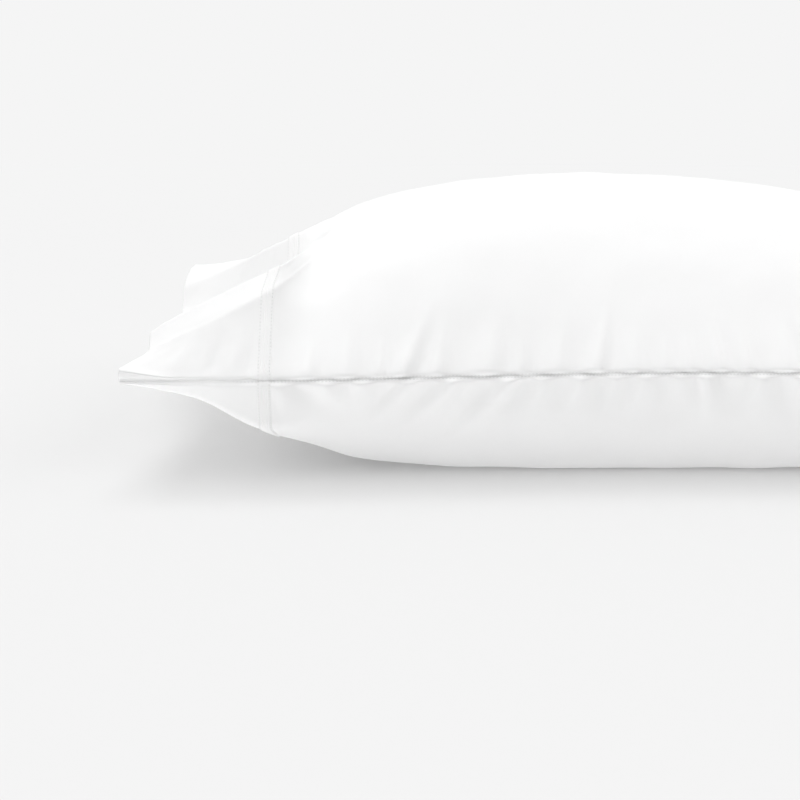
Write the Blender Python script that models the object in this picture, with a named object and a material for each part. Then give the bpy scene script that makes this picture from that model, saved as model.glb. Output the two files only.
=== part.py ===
"""A pillowcase on its pillow, lying on a flat surface.

One cloth folded along the far side, sewn along the near side and the closed end, and open at its deep
hem. X runs from the mouth to the closed end, Y from the near seam to the far fold, Z up from the surface
it lies on. Sizes are in millimetres, turned to metres when the mesh is made.
"""

from collections import namedtuple

import bmesh
import bpy
import numpy as np

MM = 0.001

# Driving sizes.
LENGTH = 712.0  # between the corners of the near seam, on the pillow
WIDTH = 490.0  # across the closed end, corner to corner
BELLY_DEPTH = 82.0  # from the near seam down to the surface it lies on
CLOTH = 2.0  # wall of the open hem
SEAM_EDGE = 1.5  # half the thickness of a sewn or folded edge
CLOSED_END_DRAWN_IN = 20.0  # how far the middle of the closed end is pulled in
PULL_STARTS = 470.0  # where along the case that pull is first felt
PULL_FULLNESS = 2.4  # the larger, the straighter the closed end between its corners
BED_SOFTNESS = 8.0  # height over which the belly rounds into its flat rest
FAR_SIDE_FULL = 3.0  # how steep the top stands at the far fold

# The filled case, a row for each section along it: heights are from the near seam's corner, and the
# fuller a layer is, the steeper it stands at its edges.
Section = namedtuple("Section", "along crown top_full belly under_full near_y near_z far_y far_z")
SECTIONS = (
    Section(0, 8, 3.0, 22, 3.0, 0, 0, 480, 28.6),
    Section(50, 32, 4.0, 36, 3.2, 0, 0, 480, 31),
    Section(103, 65, 8.0, 66, 3.6, 1.5, 0, 482, 26),
    Section(145, 82.5, 8.0, 86, 3.6, 6, 0, 480, 20),
    Section(190, 100.5, 5.6, 98, 3.3, 12, 0.5, 474, 13),
    Section(250, 114, 4.0, 110, 3.1, 18, 1, 468, 8),
    Section(345, 121.5, 3.1, 117, 3.1, 27, 2, 462, 5),
    Section(430, 118, 2.9, 117, 3.1, 30, 2.5, 460, 4),
    Section(520, 107.5, 2.9, 115, 3.1, 28, 2.5, 462, 3),
    Section(600, 92, 3.0, 104, 3.1, 20, 1.5, 469, 2),
    Section(650, 72, 3.2, 84, 3.4, 12, 1, 477, 1),
    Section(685, 45, 3.4, 52, 3.2, 5, 0, 484, 0),
    Section(712, 0, 3.4, 0, 3.0, 0, 0, 490, 0),
)

# The open hem, a row for each line that runs along it: its place (x, y, z) at the rim, in the middle of
# the hem and at the stitched band, its share of the width once it reaches the filled case, the distance
# over which the cloth bends there, and the mesh's steps from it to the next line.
Line = namedtuple("Line", "name rim middle band across bend steps")
TOP_LINES = (
    Line("near seam", (0, 0, 1.5), (50, 0, 1.5), (103, 1.5, 1.5), 0.0, 0, 1),
    Line("lip", (-0.5, 1.5, 9.5), (50, 1.5, 4), (103, 3, 5), 0.012, 1, 3),
    Line("front fold", (18.5, 22, 17.3), (55, 22, 36), (103, 35, 61), 0.075, 4, 2),
    Line("front crest", (17.6, 38, 30.5), (54, 42, 50), (107, 57, 73.5), 0.13, 4, 3),
    Line("behind the crest", (23, 95, 12), (58, 100, 31), (108, 105, 69), 0.23, 24, 3),
    Line("trough", (22, 230, 6), (58, 215, 24), (109, 140, 70), 0.34, 40, 3),
    Line("foot of the far fold", (-9, 414, -5), (44, 350, 16), (108, 180, 74), 0.47, 10, 3),
    Line("far fold", (-6, 440, 13.5), (46, 402, 38.5), (109, 235, 81), 0.60, 6, 3),
    Line("far facet", (-4, 462, 25.5), (46, 445, 37), (105, 390, 60), 0.83, 12, 5),
    Line("far edge", (0, 480, 28.6), (50, 480, 31), (103, 482, 26), 1.0, 0, 0),
)
UNDER_LINES = (
    Line("near seam", (0, 0, -1.5), (50, 0, -1.5), (103, 1.5, -1.5), 0.0, 0, 3),
    Line("near wall", (3, 20, -3), (51, 18, -14), (102, 22, -34), 0.06, 8, 5),
    Line("near bend", (14, 90, -17), (53, 80, -30), (104, 85, -56), 0.20, 24, 7),
    Line("middle", (20, 250, -27), (56, 250, -38), (105, 250, -64), 0.52, 60, 6),
    Line("far bend", (6, 435, -18), (50, 430, -26), (102, 415, -48), 0.86, 24, 3),
    Line("far wall", (-2, 474, 2), (46, 473, 0), (100, 466, -14), 0.96, 6, 2),
    Line("far edge", (0, 480, 25.6), (50, 480, 28), (103, 482, 23), 1.0, 0, 0),
)
LINE_PLACES = (0.0, 50.0, 103.0)  # how far along the case `rim`, `middle` and `band` lie
SHOULDER = 165.0  # where the hem's own folds have run out into the filled case

# Puckers drawn up by the near seam, a row for each: its place along the seam, how proud it stands, how
# far it runs from the seam, and how far it leans towards the closed end on the way.
Pucker = namedtuple("Pucker", "along height reach lean")
TOP_PUCKERS = (
    Pucker(131, 2.0, 40, 4),
    Pucker(160, 2.2, 38, 0),
    Pucker(196, 3.4, 60, 16),
    Pucker(222, 2.2, 45, 4),
    Pucker(258, 3.4, 55, 10),
    Pucker(310, 2.4, 45, 5),
    Pucker(337, 3.0, 60, 12),
    Pucker(388, 2.2, 40, 2),
    Pucker(428, 3.0, 50, -6),
    Pucker(470, 2.4, 42, -3),
    Pucker(520, 2.8, 52, -10),
    Pucker(566, 2.2, 40, -4),
    Pucker(610, 2.6, 46, -12),
)
UNDER_PUCKERS = (
    Pucker(109, 2.4, 36, 10),
    Pucker(145, 2.0, 34, 0),
    Pucker(196, 3.0, 52, -20),
    Pucker(232, 2.6, 48, -16),
    Pucker(272, 3.4, 62, -26),
    Pucker(296, 2.2, 34, -8),
    Pucker(326, 2.8, 44, -9),
    Pucker(370, 2.6, 44, -5),
    Pucker(412, 3.0, 46, 8),
    Pucker(452, 2.4, 40, -5),
    Pucker(505, 2.8, 46, 8),
    Pucker(556, 2.2, 40, 4),
    Pucker(604, 2.6, 44, 10),
)
PUCKER_WIDTH = 9.0  # half the width of a pucker at the seam
PUCKER_WIDENS = 0.8  # share of its width that it gains over its reach
PUCKER_TAIL = 1.5  # where it has died out, as a multiple of its reach
PUCKER_RISE = 6.0  # the larger, the closer to the seam it reaches its height
PUCKER_SINKS = 0.5  # share of its height that the cloth beside it sinks

# The open hem's inside.
POCKET_DEPTH = 90.0  # from the rim to where the pillow meets the cloth
PILLOW_BULGE = 20.0  # how far the pillow's end swells back towards the mouth
LEAST_GAP = 2.0  # the inside ends where top and under layers come this close
FINE_STEPS = 400  # points across the hem at which its inside is worked out
POCKET_RINGS = (0.16, 0.38, 0.62, 0.84)  # rings of the pillow's end, as shares of the way to its middle

# Places along the case where the mesh has a row of points.
ROWS_IN_HEM = 9
ROWS_IN_BODY = 66
ROWS_CLOSE_UP = 0.12  # how much closer together the body's rows are towards the closed end
ROWS_IN_POCKET = 7
SHARPEST_SMOOTH = 50.0  # degrees: an edge that turns more than this is shaded as a crease


def eased(value, start, end):
    """0 before start, 1 after end, and a smooth step between."""
    share = np.clip((value - start) / (end - start), 0.0, 1.0)
    return share * share * (3.0 - 2.0 * share)


def flowing(places, heights, at):
    """A smooth curve through heights at the given places, with no overshoot between them."""
    places = np.asarray(places, float)
    heights = np.asarray(heights, float)
    steps = np.diff(places)
    rises = np.diff(heights) / steps
    slopes = np.empty_like(heights)
    slopes[0] = rises[0]
    slopes[-1] = rises[-1]
    for i in range(1, len(places) - 1):
        before, after = rises[i - 1], rises[i]
        if before * after <= 0.0:
            slopes[i] = 0.0
            continue
        weight_before = 2.0 * steps[i] + steps[i - 1]
        weight_after = steps[i] + 2.0 * steps[i - 1]
        slopes[i] = (weight_before + weight_after) / (weight_before / before + weight_after / after)
    at = np.clip(np.asarray(at, float), places[0], places[-1])
    left = np.clip(np.searchsorted(places, at, side="right") - 1, 0, len(steps) - 1)
    step = steps[left]
    share = (at - places[left]) / step
    from_left = (1.0 + 2.0 * share) * (1.0 - share) ** 2 * heights[left]
    from_right = share**2 * (3.0 - 2.0 * share) * heights[left + 1]
    bend = step * share * (1.0 - share) * ((1.0 - share) * slopes[left] - share * slopes[left + 1])
    return from_left + from_right + bend


def folded(places, heights, bends, at):
    """Straight runs between folds, with each fold rounded over its own distance."""
    places = np.asarray(places, float)
    heights = np.asarray(heights, float)
    slopes = np.diff(heights) / np.diff(places)
    areas = np.concatenate([[0.0], np.cumsum(np.diff(places) * (heights[1:] + heights[:-1]) / 2.0)])

    def area_up_to(place):
        left = np.clip(np.searchsorted(places, place, side="right") - 1, 0, len(slopes) - 1)
        past = place - places[left]
        return areas[left] + past * (heights[left] + slopes[left] * past / 2.0)

    reach = np.minimum(np.interp(at, places, bends), np.minimum(at - places[0], places[-1] - at))
    reach = np.maximum(reach, 1e-3)
    low = np.maximum(at - reach, places[0])
    high = np.minimum(at + reach, places[-1])
    return (area_up_to(high) - area_up_to(low)) / (high - low)


def section_at(column, along):
    """One column of the section table, read at a place along the case."""
    return flowing([s.along for s in SECTIONS], [getattr(s, column) for s in SECTIONS], along)


def drawn_in(along, across):
    """How far the closed end's pull moves a point back towards the mouth."""
    pull = CLOSED_END_DRAWN_IN * (1.0 - np.abs(2.0 * across - 1.0) ** PULL_FULLNESS)
    return pull * eased(along, PULL_STARTS, LENGTH)


def resting(depth):
    """Depth below the seam, flattened where the belly lies on the surface."""
    soft = BED_SOFTNESS
    rounded = BELLY_DEPTH - (BELLY_DEPTH + soft - depth) ** 2 / (4.0 * soft)
    flat = np.where(depth > BELLY_DEPTH + soft, BELLY_DEPTH, rounded)
    return np.where(depth < BELLY_DEPTH - soft, depth, flat)


def filled_case(along, across, on_top):
    """A point of the filled case, by its place along and across it."""
    near_y = section_at("near_y", along)
    far_y = section_at("far_y", along)
    edge_z = section_at("near_z", along) * (1.0 - across) + section_at("far_z", along) * across
    side = np.abs(2.0 * across - 1.0)
    if on_top:
        full = np.where(across < 0.5, section_at("top_full", along), FAR_SIDE_FULL)
        rise = 1.0 - side**full
        z = edge_z + SEAM_EDGE + section_at("crown", along) * rise
    else:
        drop = 1.0 - side ** section_at("under_full", along)
        z = -resting(SEAM_EDGE - edge_z + section_at("belly", along) * drop)
    x = along - drawn_in(along, across)
    y = near_y + (far_y - near_y) * across
    return np.array([x, y, z])


def open_hem(lines, along, columns, on_top):
    """Points of the open hem at one place along it, by their place among the lines."""
    places = LINE_PLACES + (SHOULDER,)
    knots = []
    for line in lines:
        last = filled_case(SHOULDER, line.across, on_top)
        through = np.array([line.rim, line.middle, line.band, last])
        knots.append([flowing(places, through[:, axis], along) for axis in range(3)])
    knots = np.array(knots, float)
    numbers = np.arange(len(lines))
    y = np.interp(columns, numbers, knots[:, 1])
    bends = [line.bend for line in lines]
    x = folded(knots[:, 1], knots[:, 0], bends, y)
    z = folded(knots[:, 1], knots[:, 2], bends, y)
    return np.array([x, y, z])


def columns_of(lines):
    """Places among the lines of the mesh's columns: each line's steps to the next one."""
    found = []
    for number, line in enumerate(lines):
        found += [number + step / max(line.steps, 1) for step in range(max(line.steps, 1))]
    return np.array(found)


def rows_along():
    """Places along the case of the mesh's rows, closer together towards the closed end."""
    hem = np.linspace(0.0, LINE_PLACES[-1], ROWS_IN_HEM, endpoint=False)
    turn = np.linspace(0.0, 1.0, ROWS_IN_BODY)
    turn += ROWS_CLOSE_UP * np.sin(np.pi * turn) * turn
    body = LINE_PLACES[-1] + (LENGTH - LINE_PLACES[-1]) * turn
    return np.concatenate([hem, body])


def layer(lines, on_top):
    """A grid of points, rows along the case and columns across it, for the top or under layer."""
    columns = columns_of(lines)
    numbers = np.arange(len(lines))
    across = np.interp(columns, numbers, [line.across for line in lines])
    rows = []
    for along in rows_along():
        body = filled_case(along, across, on_top)
        if along >= SHOULDER:
            rows.append(body)
            continue
        hem = open_hem(lines, along, columns, on_top)
        share = eased(along, LINE_PLACES[-1], SHOULDER)
        rows.append(hem * (1.0 - share) + body * share)
    return np.array(rows).transpose(0, 2, 1)


def outward(grid, on_top):
    """Unit normals of a grid of points, pointing out of the case."""
    normals = np.cross(np.gradient(grid, axis=0), np.gradient(grid, axis=1))
    normals /= np.maximum(np.linalg.norm(normals, axis=2, keepdims=True), 1e-9)
    return normals if on_top else -normals


def add_puckers(grid, puckers, on_top):
    """Raises the puckers that the near seam draws up, and sinks the cloth a little between them."""
    from_seam = np.linalg.norm(grid - grid[:, :1], axis=2)
    lift = np.zeros(from_seam.shape)
    for pucker in puckers:
        share = from_seam / pucker.reach
        middle = pucker.along + pucker.lean * share
        spread = PUCKER_WIDTH * (1.0 + PUCKER_WIDENS * share)
        aside = (grid[:, :, 0] - middle) / spread
        tail = np.clip(1.0 - (share / PUCKER_TAIL) ** 2, 0.0, 1.0) ** 2
        fade = np.clip(PUCKER_RISE * share, 0.0, 1.0) * tail
        ridge = (1.0 + PUCKER_SINKS) * np.exp(-(aside**2))
        dip = PUCKER_SINKS * np.exp(-((aside / 2.0) ** 2))
        lift += pucker.height * fade * (ridge - dip)
    return grid + outward(grid, on_top) * lift[:, :, None]


def keep_flat(grid):
    """Brings what puckers pushed through the resting surface back onto it."""
    grid[:, :, 2] = np.maximum(grid[:, :, 2], -BELLY_DEPTH)
    return grid


def inside_of(top, under, along_rows):
    """The hem's inside at each pocket row: its upper and lower grids, a cloth's thickness within."""
    rows = rows_along()
    upper, lower = [], []
    for along in along_rows:
        row = np.interp(along, rows, np.arange(len(rows)))
        low, share = int(row), row - int(row)
        outer = [g[low] * (1.0 - share) + g[low + 1] * share for g in (top, under)]
        y = np.linspace(outer[0][0, 1], outer[0][-1, 1], FINE_STEPS)
        heights = []
        for sign, points in zip((-1.0, 1.0), outer):
            z = np.interp(y, points[:, 1], points[:, 2])
            heights.append(z + sign * CLOTH * np.sqrt(1.0 + np.gradient(z, y) ** 2))
        open_at = y[heights[0] - heights[1] > LEAST_GAP]
        for points, z, found in zip(outer, heights, (upper, lower)):
            span = (points[:, 1] - points[0, 1]) / (points[-1, 1] - points[0, 1])
            at = open_at[0] + (open_at[-1] - open_at[0]) * span
            found.append(np.array([np.interp(at, points[:, 1], points[:, 0]), at, np.interp(at, y, z)]).T)
    return np.array(upper), np.array(lower)


def grid_faces(mesh, rows, flip=False):
    """Joins neighbouring rows of vertices with quads."""
    for first, second in zip(rows, rows[1:]):
        for i in range(len(first) - 1):
            corners = [first[i], second[i], second[i + 1], first[i + 1]]
            mesh.faces.new(reversed(corners) if flip else corners)


def vertices_of(mesh, grid):
    return [[mesh.verts.new(point * MM) for point in row] for row in grid]


def ring_of(upper_row, lower_row):
    """A closed ring: over the upper row, then back along the lower one."""
    return list(upper_row) + list(reversed(lower_row))


def pocket_end(mesh, last_ring):
    """The pillow's rounded end across the bottom of the pocket."""
    edge = np.array([vertex.co for vertex in last_ring])
    middle = edge.mean(axis=0) - np.array([PILLOW_BULGE * MM, 0.0, 0.0])
    rings = [last_ring]
    for share in POCKET_RINGS:
        points = edge + (middle - edge) * share
        points[:, 0] = edge[:, 0] + (middle[0] - edge[:, 0]) * (1.0 - (1.0 - share) ** 2)
        rings.append([mesh.verts.new(point) for point in points])
    grid_faces(mesh, [ring + ring[:1] for ring in rings], flip=True)
    centre = mesh.verts.new(middle)
    last = rings[-1]
    for first, second in zip(last, last[1:] + last[:1]):
        mesh.faces.new((first, second, centre))


def to_rest(top, under):
    """The shift that centres the case over the origin and sets its belly on the surface."""
    points = np.concatenate([top.reshape(-1, 3), under.reshape(-1, 3)])
    middle = (points.min(axis=0) + points.max(axis=0)) / 2.0
    return np.array([-middle[0], -middle[1], BELLY_DEPTH])


def case_mesh():
    """The whole case: two layers, their edges, the rim, and the open hem's inside."""
    top = add_puckers(layer(TOP_LINES, True), TOP_PUCKERS, True)
    under = keep_flat(add_puckers(layer(UNDER_LINES, False), UNDER_PUCKERS, False))
    pocket_rows = np.linspace(0.0, POCKET_DEPTH, ROWS_IN_POCKET)
    upper, lower = inside_of(top, under, pocket_rows)
    shift = to_rest(top, under)
    mesh = bmesh.new()
    top, under, upper, lower = (vertices_of(mesh, grid + shift) for grid in (top, under, upper, lower))
    outside = [ring_of(a, b) for a, b in zip(top, under)]
    inside = [ring_of(a, b) for a, b in zip(upper, lower)]
    grid_faces(mesh, [ring + ring[:1] for ring in outside])
    grid_faces(mesh, [top[-1], under[-1]])
    grid_faces(mesh, [outside[0] + outside[0][:1], inside[0] + inside[0][:1]], flip=True)
    grid_faces(mesh, [ring + ring[:1] for ring in inside], flip=True)
    pocket_end(mesh, inside[-1])
    bmesh.ops.recalc_face_normals(mesh, faces=mesh.faces[:])
    data = bpy.data.meshes.new("pillowcase")
    mesh.to_mesh(data)
    mesh.free()
    data.shade_smooth()
    data.set_sharp_from_angle(angle=np.radians(SHARPEST_SMOOTH))
    return data


def percale():
    """Plain white cotton."""
    material = bpy.data.materials.new("white_percale")
    material.use_nodes = True
    surface = material.node_tree.nodes["Principled BSDF"]
    surface.inputs["Base Color"].default_value = (0.9, 0.9, 0.9, 1.0)
    surface.inputs["Roughness"].default_value = 0.85
    surface.inputs["Metallic"].default_value = 0.0
    return material


def clear_scene():
    for thing in list(bpy.data.objects):
        bpy.data.objects.remove(thing, do_unlink=True)


def main():
    clear_scene()
    collection = bpy.data.collections.new("pillowcase")
    bpy.context.scene.collection.children.link(collection)
    case = bpy.data.objects.new("pillowcase", case_mesh())
    case.data.materials.append(percale())
    collection.objects.link(case)


main()
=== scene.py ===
"""A white percale pillowcase on its pillow, in a pale studio.

The cloth is worked out in millimetres in the case's own frame: X runs from the open hem to the closed end,
Y from the sewn near side to the folded far side, and Z up from the near seam. `placed` sets it in the room.
"""

from collections import namedtuple

import bmesh
import bpy
import numpy as np
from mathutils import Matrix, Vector


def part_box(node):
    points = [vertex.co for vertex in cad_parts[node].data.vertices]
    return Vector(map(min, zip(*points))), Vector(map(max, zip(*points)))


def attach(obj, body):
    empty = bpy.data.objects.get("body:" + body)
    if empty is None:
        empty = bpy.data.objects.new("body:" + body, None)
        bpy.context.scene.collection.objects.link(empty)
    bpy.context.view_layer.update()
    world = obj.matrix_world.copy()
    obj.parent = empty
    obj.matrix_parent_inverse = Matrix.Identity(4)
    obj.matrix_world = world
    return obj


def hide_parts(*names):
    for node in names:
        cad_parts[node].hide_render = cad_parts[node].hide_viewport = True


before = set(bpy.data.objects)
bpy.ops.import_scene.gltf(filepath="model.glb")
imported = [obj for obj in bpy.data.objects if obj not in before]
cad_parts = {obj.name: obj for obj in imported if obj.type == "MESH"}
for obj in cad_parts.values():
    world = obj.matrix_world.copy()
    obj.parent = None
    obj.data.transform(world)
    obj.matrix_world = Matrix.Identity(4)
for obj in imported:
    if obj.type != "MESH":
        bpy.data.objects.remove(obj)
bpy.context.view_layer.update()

MM = 0.001
Span = namedtuple("Span", "start end")  # two places or values between which something changes

# The case on its pillow.
LENGTH = 712.0  # between the corners of the near seam
WIDTH = 490.0  # across the closed end
BELLY_DEPTH = 82.0  # from the near seam down to the surface it lies on
SEAM_EDGE = 1.5  # half the thickness of a sewn or folded edge
CLOSED_END_DRAWN_IN = 20.0  # how far its middle lies in from its corners
PULL_STARTS = 470.0  # where along the case that pull begins
PULL_FULLNESS = 2.4  # the higher, the straighter the closed end
BED_SOFTNESS = 8.0  # how gently the belly turns into its flat patch
FAR_SIDE_FULL = 3.0  # how full the far half of the crown is
HEM_DEPTH = 103.0  # from the rim to where hem and filled case meet, under the band
SHOULDER = 165.0  # where the hem's folds have run out
FOLDS_CRISP = 107.0  # how far along they stay crisp
FOLDS_SOFTEN = 80.0  # over how much more each bends by the shoulder

# Sections of the filled case: the place along it, the rise of the crown and how full it is, the drop of the
# belly and how full it is, and where the near and far edges lie.
Section = namedtuple("Section", "along crown top_full belly under_full near_y near_z far_y far_z")
SECTIONS = (
    Section(0, 8, 3.0, 22, 3.0, 0, 0, 480, 28.6),
    Section(50, 32, 4.0, 36, 3.2, 0, 0, 480, 31),
    Section(103, 65, 5.5, 66, 3.6, 1.5, 0, 482, 26),
    Section(145, 82.5, 4.4, 86, 3.6, 6, 0, 480, 20),
    Section(190, 100.5, 4.3, 98, 3.3, 12, 0.5, 474, 13),
    Section(250, 114, 4.0, 110, 3.1, 18, 1, 468, 8),
    Section(345, 121.5, 3.1, 117, 3.1, 27, 2, 462, 5),
    Section(430, 118, 2.9, 117, 3.1, 30, 2.5, 460, 4),
    Section(520, 107.5, 2.9, 115, 3.1, 28, 2.5, 462, 3),
    Section(600, 92, 3.0, 104, 3.1, 20, 1.5, 469, 2),
    Section(650, 72, 3.2, 84, 3.4, 12, 1, 477, 1),
    Section(685, 45, 3.4, 52, 3.2, 5, 0, 484, 0),
    Section(712, 0, 3.4, 0, 3.0, 0, 0, 490, 0),
)

# Folds that run along the open hem: places at the rim, half way and at the band, the share of the width
# each has once it reaches the filled case, the distance over which the cloth bends there, and the mesh's
# even steps to the next one.
Line = namedtuple("Line", "name rim middle band across bend steps")
TOP_LINES = (
    Line("near seam", (0, 0, 1.5), (50, 0, 1.5), (103, 1.5, 1.5), 0.0, 0, 0),
    Line("lip", (-0.5, 1.2, 9.3), (50, 1.4, 2.8), (103, 2.8, 3.4), 0.012, 1, 34),
    Line("front fold", (18.5, 22, 17.3), (55, 22, 36), (103, 35, 60), 0.30, 3, 20),
    Line("front crest", (17.6, 38, 30.5), (54, 42, 50), (107, 58, 73.5), 0.40, 3, 28),
    Line("behind the crest", (23, 95, 11), (58, 100, 28), (108, 104, 61), 0.44, 18, 30),
    Line("trough", (22, 230, 4), (58, 215, 16), (109, 150, 56), 0.475, 30, 32),
    Line("foot of the far fold", (-6.5, 428, -8), (44, 388, 10), (109, 214, 54), 0.51, 5, 20),
    Line("far fold", (-6, 440, 13.5), (46, 402, 38.5), (109, 232, 81), 0.54, 4, 28),
    Line("far facet", (-4, 462, 25.5), (46, 445, 37), (105, 390, 60), 0.82, 12, 26),
    Line("far edge", (0, 480, 28.6), (50, 480, 31), (103, 482, 26), 1.0, 0, 0),
)
UNDER_LINES = (
    Line("near seam", (0, 0, -1.5), (50, 0, -1.5), (103, 1.5, -1.5), 0.0, 0, 28),
    Line("near wall", (3, 6, -2.6), (51, 11, -13.5), (102, 20, -37.5), 0.06, 5, 24),
    Line("near bend", (14, 90, -16), (53, 80, -25.5), (104, 85, -55), 0.20, 24, 16),
    Line("middle", (20, 250, -27), (56, 250, -38), (105, 250, -64), 0.52, 60, 14),
    Line("far bend", (6, 435, -18), (50, 430, -26), (102, 415, -48), 0.86, 24, 12),
    Line("far wall", (-2, 474, 2), (46, 473, 0), (100, 466, -14), 0.96, 6, 7),
    Line("far edge", (0, 480, 25.6), (50, 480, 28), (103, 482, 23), 1.0, 0, 0),
)
LINE_PLACES = (0.0, 50.0, HEM_DEPTH)  # where along the case the three places of a fold are

# The rows of the mesh.
HEM_ROWS = 66
BODY_ROWS = 246
END_ROWS = (8.0, 5.6, 3.8, 2.4, 1.4, 0.7, 0.0)  # from the closed end: short rows that shape its seam

# The upright lip that stands at the tip of the mouth.
LIP_HEIGHT = 9.3
LIP_LENGTH = 35.0
LIP_LOW = 2.7  # its height where it has run out
LIP_SINKS = 1.2  # the higher, the sooner it sinks behind the tip
LIP_HOLLOW = 0.9  # how deep the cloth is pressed in between the seam and the lip
HOLLOW_PAST_LIP = 0.25  # share of that depth that stays where the lip has run out
HOLLOW_BEGINS = 6.0  # how far from the rim the hollow reaches its depth
LIP_LEAN = 3.2  # how far the lip leans out over the hollow
LIP_LEAN_FADES = Span(10.5, 49.0)  # along the case
LIP_ABOVE = 0.16  # share of the way to the front fold that leans out with it

# Puckers along an edge: the place along it, how proud each stands, its reach from the edge, how far it
# leans on the way, and half its width.
Pucker = namedtuple("Pucker", "along height reach lean width")
PUCKERS_ABOVE = [
    Pucker(*row)
    for row in (
        (131, 3.2, 29, 3, 8), (159, 3.6, 32, 1, 9), (181, 3.4, 29, 3, 7), (197, 6, 49, 20, 9),
        (222, 3.8, 36, 5, 8), (257, 5.2, 44, 8, 13), (281, 3.1, 29, 3, 7), (307, 3.8, 37, 4, 10),
        (335, 4.9, 48, 10, 8), (363, 2.7, 26, 0, 8), (385, 2.9, 29, 1, 8), (402, 3.6, 32, -2, 8),
        (424, 4.9, 41, -7, 8), (443, 3.5, 34, -3, 7), (472, 4.1, 36, -4, 10), (498, 2.9, 27, -2, 7),
        (521, 4.3, 42, -10, 9), (549, 3.1, 29, -3, 8), (570, 3.8, 36, -6, 9), (598, 2.9, 27, -5, 7),
        (618, 4.2, 37, -12, 9), (646, 2.9, 24, -8, 7),
    )
]
PUCKERS_BELOW = [
    Pucker(*row)
    for row in (
        (110, 3.8, 32, 9, 8), (144, 3.8, 30, 0, 8), (167, 3.5, 28, -2, 8), (203, 4.7, 44, -26, 8),
        (233, 5, 48, -30, 8), (245, 3.7, 38, -16, 6), (273, 6.4, 61, -38, 8), (297, 4.1, 30, -7, 7),
        (325, 4.7, 38, -9, 8), (348, 3.8, 44, -6, 7), (369, 4.3, 42, -7, 8), (394, 3.4, 28, -2, 7),
        (412, 5.4, 44, 9, 8), (430, 3, 25, 0, 6), (452, 4.7, 42, -6, 9), (480, 3.7, 34, 2, 8),
        (506, 4.7, 44, 8, 8), (534, 3.4, 30, 2, 7), (557, 4.3, 40, 5, 8), (582, 3.4, 30, 4, 7),
        (606, 4.7, 42, 12, 9), (634, 3.2, 27, 6, 7),
    )
]

# How a row of puckers is shaped: the widths of the left and right flanks and what they are at the edge and
# at the reach, all as shares of the pucker's width; the distance in which a pucker rises beside the edge;
# how fast it sinks towards its reach; and how deep the hollow on its right is.
Shape = namedtuple("Shape", "left right at_edge at_reach rises sinks hollow")
PUFF_SHAPE = Shape(1.0, 0.8, 1.05, 0.45, 1.4, 1.5, 0.45)  # puckers above the near seam
PLEAT_SHAPE = Shape(0.7, 1.5, 0.65, 1.2, 1.5, 1.2, 0.55)  # narrower ones, which run down from it
GATHER_SHAPE = Shape(1.0, 1.0, 0.7, 1.1, 2.5, 2.0, 0.3)  # plain ones at the far fold and closed end
HOLLOW_BESIDE = 1.6  # from a pucker's ridge to its hollow, in widths of its flank
WIDTH_SETTLES = 1.2  # where a pucker's width stops changing, as a share of its reach
RUNS_OUT = 1.25  # where a pucker has run out, as a share of its reach
CROSSING_CLEAR = 14.0  # nearer than this to an edge that crosses theirs, puckers fade

# Gathers that are spread evenly along an edge: how many, and their height and reach.
Gathers = namedtuple("Gathers", "count height reach")
FAR_GATHERS = Gathers(16, 1.7, 44.0)
FAR_GATHERS_BEGIN = Span(60.0, 130.0)  # where along the case they come in
FAR_GATHERS_SEED = 5
END_GATHERS = Gathers(12, 2.2, 46.0)
# How they differ: shares of the step that each strays by, of the height and of the reach; lean and width.
GATHERS_DIFFER = (Span(-0.3, 0.3), Span(0.5, 1.2), Span(0.65, 1.25), Span(-12.0, 12.0), Span(7.0, 11.0))

# Faint unevenness of the cloth: its height, the size of its waves, and the distances from the near seam
# between which it grows.
Ripple = namedtuple("Ripple", "height size grows")
SLOW_RIPPLE = Ripple(0.35, 55.0, Span(2.0, 40.0))
FINE_RIPPLE = Ripple(0.12, 16.0, Span(0.5, 8.0))
FINE_RIPPLE_SEED = 13
PULLED_SMOOTH = 0.7  # share of the fine ripple that the full pillow stretches out
RIPPLE_WAVES = 14
RIPPLE_SIZES = Span(0.7, 1.6)  # shares of the size

# Soft dents and swellings pressed into the cloth: place along the case and up from the near seam, half
# the length and width, how far it is turned from the case's length, and its height.
Mark = namedtuple("Mark", "along up length width turn height")
TOP_MARKS = (
    Mark(38, 15, 14, 8, 70, 1.9),
    Mark(66, 16, 16, 5, 80, -1.4),
    Mark(79, 14, 16, 4, 85, 1.2),
    Mark(91, 14, 20, 4.5, 88, -2.1),
    Mark(60, 44, 26, 5, 20, -0.8),
    Mark(150, 70, 40, 10, 35, 1.0),
    Mark(122, 62, 22, 12, 65, 1.6),
    Mark(190, 120, 60, 14, 30, -0.9),
    Mark(240, 90, 50, 16, 55, 0.8),
    Mark(150, 210, 60, 14, 12, 0.9),
    Mark(180, 300, 70, 16, -10, -0.9),
    Mark(140, 400, 50, 14, -25, 0.9),
    Mark(560, 120, 60, 18, -35, 0.9),
    Mark(600, 220, 70, 16, -8, -0.9),
    Mark(590, 350, 60, 16, 25, 0.9),
)

# Crisp ridges that the pull between the mouth's corners and the crown puts on the top of the hem: the
# fold each follows, its height, half its width below and above the fold, and where along the case it
# begins to fade and is gone.
Ridge = namedtuple("Ridge", "fold height below above fades gone")
RIDGES = (
    Ridge("front fold", 0.9, 5.0, 2.2, 112, 150),
    Ridge("front crest", 0.8, 5.0, 2.4, 120, 160),
    Ridge("far fold", 0.6, 4.0, 2.5, 70, 130),
)
RIDGE_ROUNDNESS = 1.6  # 1 is sharp and 2 is round

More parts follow.
